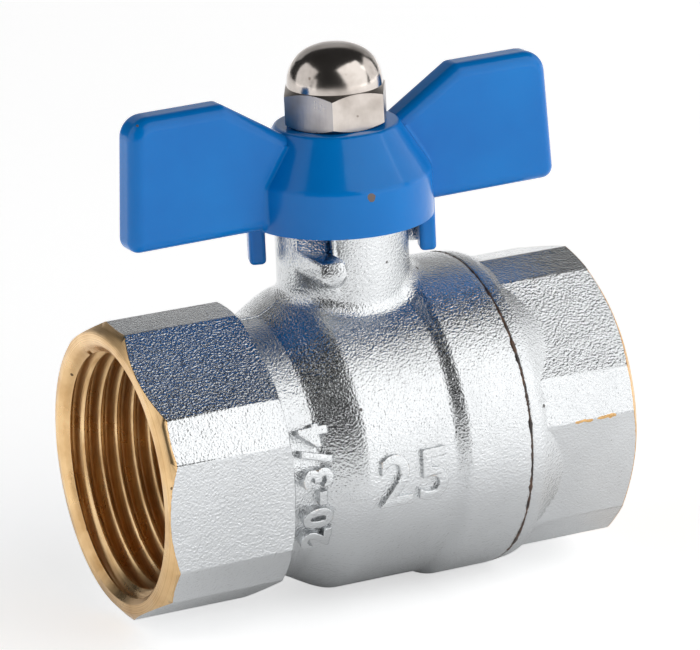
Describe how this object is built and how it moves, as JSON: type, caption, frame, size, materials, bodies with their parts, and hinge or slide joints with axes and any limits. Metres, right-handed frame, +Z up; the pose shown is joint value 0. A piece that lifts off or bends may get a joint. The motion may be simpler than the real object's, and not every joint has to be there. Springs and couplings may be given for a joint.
{
  "type": "ball valve",
  "caption": "Threaded brass ball valve with hexagon ends, a ball turned by a sealed stem, and a blue butterfly handle held by a domed nut.",
  "frame": {"origin": "where the pipe axis crosses the stem axis, at the centre of the ball", "axes": "+X along the pipe from the inlet hexagon to the end connector, +Z up the stem to the handle, +Y away from the side with the visible stop bar"},
  "size_m": [0.0521, 0.0326, 0.0567],
  "materials": {
    "plated_body": "bright plating over a sand-blasted forging",
    "thread_sealant": "cured dark brown sealant",
    "chromed_ball": "polished",
    "white_seal": "waxy white fluoropolymer",
    "black_rubber": "smooth moulded",
    "turned_brass": "turned",
    "blue_paint": "gloss blue paint over a die casting",
    "nut_steel": "brushed flats, polished dome"
  },
  "bodies": {
    "housing": {"valve_body": "plated_body", "end_connector": "plated_body", "joint_sealant": "thread_sealant", "inlet_seat": "white_seal", "outlet_seat": "white_seal", "thrust_washer": "white_seal", "lower_packing_ring": "white_seal", "upper_packing_ring": "white_seal", "gland_nut": "turned_brass"},
    "handle": {"handle": "blue_paint", "stem": "turned_brass", "cap_nut": "nut_steel", "lower_stem_o_ring": "black_rubber", "upper_stem_o_ring": "black_rubber"},
    "ball": {"ball": "chromed_ball"}
  },
  "joints": [
    {"name": "handle_turn", "type": "hinge", "parent": "housing", "child": "handle", "pos_m": [0, 0, 0.02], "axis": [0, 0, 1], "range_deg": [-90, 0]},
    {"name": "ball_turn", "type": "hinge", "parent": "housing", "child": "ball", "pos_m": [0, 0, 0], "axis": [0, 0, 1], "range_deg": [-90, 0]}
  ],
  "couplings": [
    {"joint": "ball_turn", "follows": "handle_turn", "ratio": 1}
  ]
}
